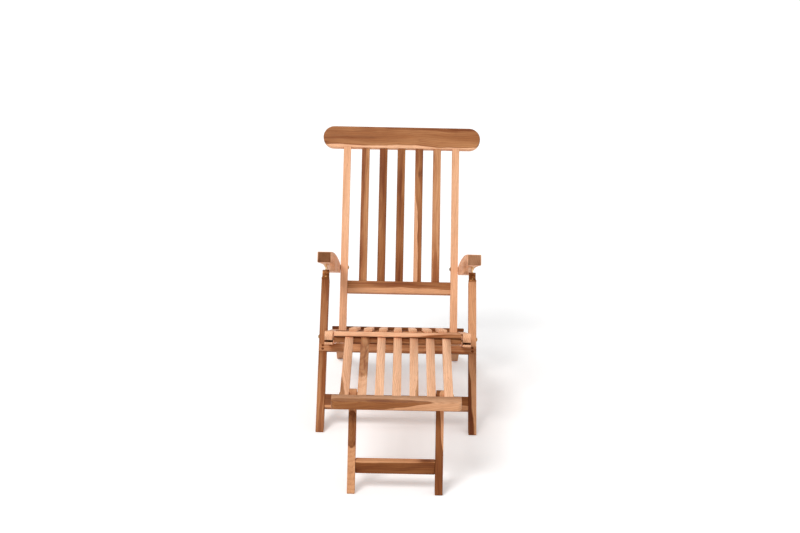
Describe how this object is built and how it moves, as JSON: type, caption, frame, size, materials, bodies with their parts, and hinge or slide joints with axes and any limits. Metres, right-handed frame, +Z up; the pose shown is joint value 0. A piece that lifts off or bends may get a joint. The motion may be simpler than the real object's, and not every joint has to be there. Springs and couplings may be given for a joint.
{
  "type": "steamer deck chair",
  "caption": "Folding teak steamer chair with slatted seat and tall slatted back, notched arms on metal-capped legs, and a draw-out slatted footrest",
  "frame": {"origin": "on the floor under the middle of the whole chair", "axes": "+Z up, +Y from the foot end to the head end, +X to the right seen from the foot end"},
  "size_m": [0.6, 1.4554, 0.9147],
  "materials": {
    "arm_bolts": "aged",
    "arm_l": "oiled teak",
    "arm_r": "oiled teak",
    "arm_rest_pins": "turned",
    "back_bolts": "aged",
    "back_lower_rail": "oiled teak",
    "back_slat_1": "oiled teak",
    "back_slat_2": "oiled teak",
    "back_slat_3": "oiled teak",
    "back_slat_4": "oiled teak",
    "back_slat_5": "oiled teak",
    "back_stile_l": "oiled teak",
    "back_stile_r": "oiled teak",
    "cap_screws": "aged",
    "cross_rail_plugs": "oiled teak",
    "footrest_bearer_l": "oiled teak",
    "footrest_bearer_r": "oiled teak",
    "footrest_crossbar": "oiled teak",
    "footrest_front_rail": "oiled teak",
    "footrest_leg_bolts": "aged",
    "footrest_leg_l": "oiled teak",
    "footrest_leg_r": "oiled teak",
    "footrest_pins": "turned",
    "footrest_rear_rail": "oiled teak",
    "footrest_slat_1": "oiled teak",
    "footrest_slat_2": "oiled teak",
    "footrest_slat_3": "oiled teak",
    "footrest_slat_4": "oiled teak",
    "footrest_slat_5": "oiled teak",
    "footrest_slat_6": "oiled teak",
    "footrest_slat_7": "oiled teak",
    "front_cross_rail_lower": "oiled teak",
    "front_cross_rail_upper": "oiled teak",
    "front_leg_l": "oiled teak",
    "front_leg_r": "oiled teak",
    "headrest": "oiled teak",
    "leg_bolts": "aged",
    "leg_caps": "dark bronze, satin",
    "rear_leg_l": "oiled teak",
    "rear_leg_r": "oiled teak",
    "rear_stretcher": "oiled teak",
    "seat_front_bar": "oiled teak",
    "seat_mid_batten": "oiled teak",
    "seat_rear_batten": "oiled teak",
    "seat_rear_rail": "oiled teak",
    "seat_slat_1": "oiled teak",
    "seat_slat_2": "oiled teak",
    "seat_slat_3": "oiled teak",
    "seat_slat_4": "oiled teak",
    "seat_slat_5": "oiled teak",
    "seat_slat_6": "oiled teak",
    "seat_slat_7": "oiled teak",
    "side_rail_l": "oiled teak",
    "side_rail_r": "oiled teak"
  },
  "bodies": {
    "seat": {"side_rail_l": "side_rail_l", "side_rail_r": "side_rail_r", "rear_leg_l": "rear_leg_l", "rear_leg_r": "rear_leg_r", "rear_stretcher": "rear_stretcher", "seat_front_bar": "seat_front_bar", "seat_mid_batten": "seat_mid_batten", "seat_rear_batten": "seat_rear_batten", "seat_rear_rail": "seat_rear_rail", "seat_slat_1": "seat_slat_1", "seat_slat_2": "seat_slat_2", "seat_slat_3": "seat_slat_3", "seat_slat_4": "seat_slat_4", "seat_slat_5": "seat_slat_5", "seat_slat_6": "seat_slat_6", "seat_slat_7": "seat_slat_7", "leg_bolts": "leg_bolts", "back_bolts": "back_bolts"},
    "front_legs": {"front_leg_l": "front_leg_l", "front_leg_r": "front_leg_r", "front_cross_rail_upper": "front_cross_rail_upper", "front_cross_rail_lower": "front_cross_rail_lower", "cross_rail_plugs": "cross_rail_plugs", "leg_caps": "leg_caps", "cap_screws": "cap_screws", "arm_rest_pins": "arm_rest_pins"},
    "back": {"back_stile_l": "back_stile_l", "back_stile_r": "back_stile_r", "back_lower_rail": "back_lower_rail", "headrest": "headrest", "back_slat_1": "back_slat_1", "back_slat_2": "back_slat_2", "back_slat_3": "back_slat_3", "back_slat_4": "back_slat_4", "back_slat_5": "back_slat_5"},
    "arms": {"arm_l": "arm_l", "arm_r": "arm_r", "arm_bolts": "arm_bolts"},
    "footrest_slide": {"footrest_pins": "footrest_pins"},
    "footrest": {"footrest_rear_rail": "footrest_rear_rail", "footrest_bearer_l": "footrest_bearer_l", "footrest_bearer_r": "footrest_bearer_r", "footrest_front_rail": "footrest_front_rail", "footrest_leg_bolts": "footrest_leg_bolts", "footrest_slat_1": "footrest_slat_1", "footrest_slat_2": "footrest_slat_2", "footrest_slat_3": "footrest_slat_3", "footrest_slat_4": "footrest_slat_4", "footrest_slat_5": "footrest_slat_5", "footrest_slat_6": "footrest_slat_6", "footrest_slat_7": "footrest_slat_7"},
    "footrest_legs": {"footrest_leg_l": "footrest_leg_l", "footrest_leg_r": "footrest_leg_r", "footrest_crossbar": "footrest_crossbar"}
  },
  "joints": [
    {"name": "back_fold", "type": "hinge", "parent": "seat", "child": "back", "pos_m": [0, 0.33902, 0.18748], "axis": [1, 0, 0], "range_deg": [0, 78]},
    {"name": "front_leg_fold", "type": "hinge", "parent": "seat", "child": "front_legs", "pos_m": [0, 0.0623, 0.2705], "axis": [1, 0, 0], "range_deg": [0, 72.8]},
    {"name": "arm_fold", "type": "hinge", "parent": "back", "child": "arms", "pos_m": [0, 0.46059, 0.42002], "axis": [1, 0, 0], "range_deg": [-120.9, 0]},
    {"name": "footrest_draw", "type": "slide", "parent": "seat", "child": "footrest_slide", "axis": [0, -1, 0], "range_m": [0, 0.06]},
    {"name": "footrest_tilt", "type": "hinge", "parent": "footrest_slide", "child": "footrest", "pos_m": [0, -0.16987, 0.33702], "axis": [1, 0, 0], "range_deg": [0, 33]},
    {"name": "footrest_leg_fold", "type": "hinge", "parent": "footrest", "child": "footrest_legs", "pos_m": [0, -0.59625, 0.28794], "axis": [1, 0, 0], "range_deg": [0, 108]}
  ],
  "couplings": [
    {"joint": "front_leg_fold", "follows": "back_fold", "ratio": 0.926},
    {"joint": "arm_fold", "follows": "back_fold", "ratio": -1.537}
  ]
}
